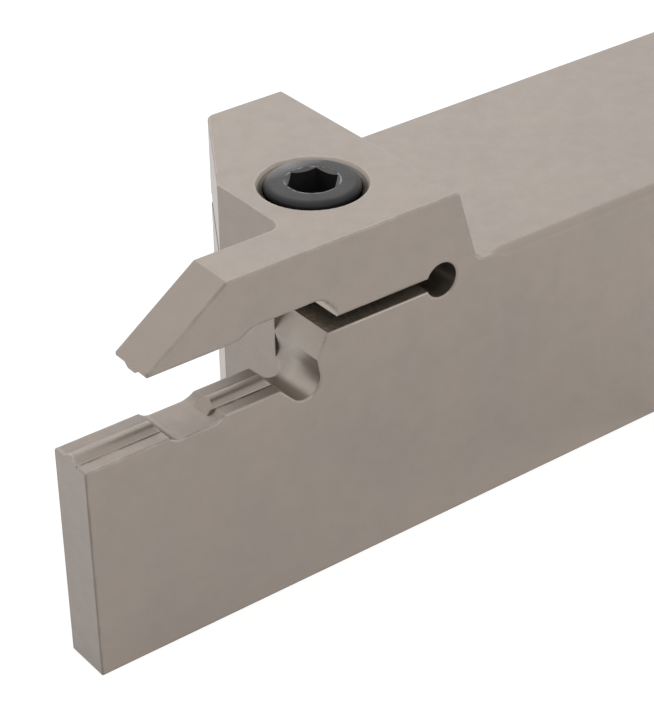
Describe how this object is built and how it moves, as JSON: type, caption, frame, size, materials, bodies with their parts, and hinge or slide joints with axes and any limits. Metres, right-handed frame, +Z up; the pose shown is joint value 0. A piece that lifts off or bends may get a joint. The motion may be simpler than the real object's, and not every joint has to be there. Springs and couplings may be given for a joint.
{
  "type": "grooving tool holder",
  "caption": "Square-shank turning tool holder with a thin split blade that clamps a grooving or parting insert, tightened by a socket head cap screw.",
  "frame": {"origin": "on the flat bottom face, at the middle of the overall length and width", "axes": "+X from the blade's front back along the shank, +Y from the blade's open side across the shank, +Z up from the bottom face"},
  "size_m": [0.15, 0.025, 0.0326],
  "materials": {
    "nickel_finished_steel": "satin, warm grey plated steel",
    "black_oxide_steel": "satin black oxide"
  },
  "bodies": {
    "holder": {"tool_body": "nickel_finished_steel"},
    "screw": {"clamp_screw": "black_oxide_steel"}
  },
  "joints": [
    {"name": "screw_turn", "type": "hinge", "parent": "holder", "child": "screw", "pos_m": [-0.0459, -0.0035, 0.0276], "axis": [0, 0, 1], "range_deg": [0, 450]}
  ]
}
